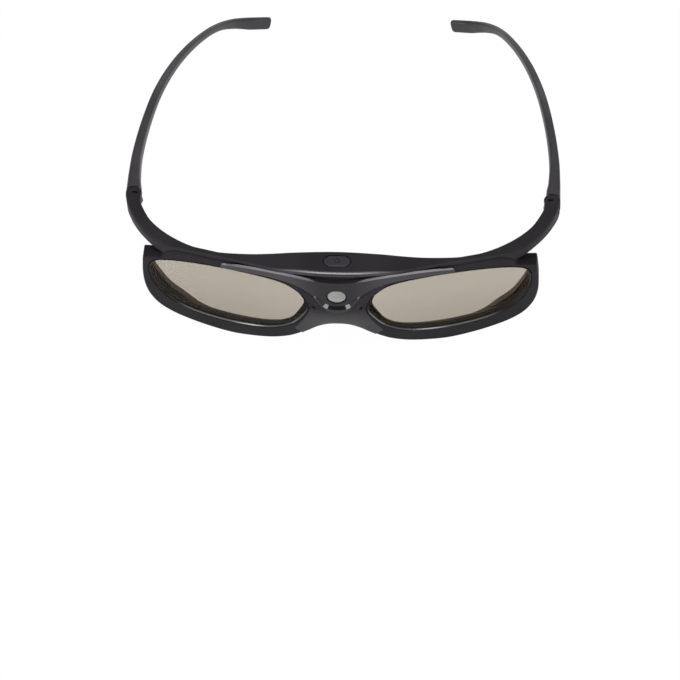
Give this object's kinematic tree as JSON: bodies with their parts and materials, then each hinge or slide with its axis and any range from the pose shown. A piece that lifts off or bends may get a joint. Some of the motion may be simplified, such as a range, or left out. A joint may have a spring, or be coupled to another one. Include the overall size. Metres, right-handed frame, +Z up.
{
  "type": "active shutter 3d glasses",
  "caption": "Wrap-around active shutter 3d glasses with tinted lenses, a curved top bar, folding slim temples, a sensor window over the nose and a press button on top.",
  "frame": {"origin": "middle of the box round the open glasses, on the table that they stand on", "axes": "+X to the wearer's left, +Y from the front towards the temple tips, +Z up"},
  "size_m": [0.1656, 0.1806, 0.0462],
  "materials": {
    "matte_black": "fine matte moulded",
    "gloss_black": "polished",
    "satin_grey": "satin",
    "window_grey": "polished, slightly clear",
    "chip_black": "moulded",
    "board_green": "solder mask",
    "flex_tan": "film",
    "steel": "turned",
    "foil_silver": "foil",
    "lead_red": "insulation",
    "soft_black": "soft",
    "film_tint": "clear tinted film",
    "lens_glass": "clear tinted"
  },
  "bodies": {
    "frame": {"main_frame": "matte_black", "rear_cover": "matte_black", "centre_trim": "gloss_black", "bridge_cover": "satin_grey", "sensor_window": "window_grey", "photodiode": "chip_black", "sensor_board": "board_green", "sensor_flex": "flex_tan", "main_board": "board_green", "driver_chip": "chip_black", "tact_switch": "chip_black", "battery": "foil_silver", "battery_leads": "lead_red", "charging_socket": "steel", "status_led": "window_grey", "nose_pad": "soft_black", "cover_screws": "steel", "left_hinge_pin": "steel", "right_hinge_pin": "steel", "left_front_polariser": "film_tint", "right_front_polariser": "film_tint", "left_shutter_cell": "lens_glass", "right_shutter_cell": "lens_glass", "left_rear_polariser": "film_tint", "right_rear_polariser": "film_tint", "left_lens_gasket": "soft_black", "right_lens_gasket": "soft_black", "left_lens_flex": "flex_tan", "right_lens_flex": "flex_tan"},
    "left_arm": {"left_temple": "matte_black"},
    "right_arm": {"right_temple": "matte_black"},
    "key": {"power_button": "matte_black", "switch_plunger": "steel"}
  },
  "joints": [
    {"name": "left_temple_fold", "type": "hinge", "parent": "frame", "child": "left_arm", "pos_m": [0.07943, -0.04671, 0.0404], "axis": [0, 0, 1], "range_deg": [0, 80]},
    {"name": "right_temple_fold", "type": "hinge", "parent": "frame", "child": "right_arm", "pos_m": [-0.07943, -0.04671, 0.0404], "axis": [0, 0, -1], "range_deg": [0, 68]},
    {"name": "power_button_press", "type": "slide", "parent": "frame", "child": "key", "axis": [0, 0, -1], "range_m": [0, 0.0003], "stiffness_N_per_m": 2000}
  ]
}
